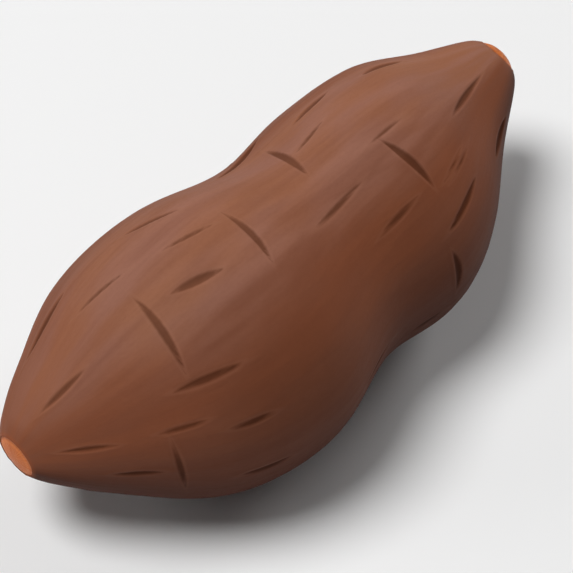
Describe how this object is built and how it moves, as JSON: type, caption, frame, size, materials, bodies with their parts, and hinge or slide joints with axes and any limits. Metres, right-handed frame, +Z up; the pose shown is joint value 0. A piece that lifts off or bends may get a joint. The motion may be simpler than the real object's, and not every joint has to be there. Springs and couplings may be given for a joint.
{
  "type": "yam",
  "caption": "Whole yam lying on its belly: a bent, softly waisted tuber tapering to a trimmed tip at each end.",
  "frame": {"origin": "on the resting plane, under the middle of the tuber's bounding box", "axes": "+X along the tuber from the root tip to the stem tip, +Z up from the resting plane"},
  "size_m": [0.1658, 0.0708, 0.0645],
  "materials": {
    "skin": "dry, faintly waxy reddish-brown tuber skin with dark sunken scars; bare orange flesh on the two trimmed tips"
  },
  "bodies": {
    "root": {"tuber": "skin"}
  },
  "joints": []
}
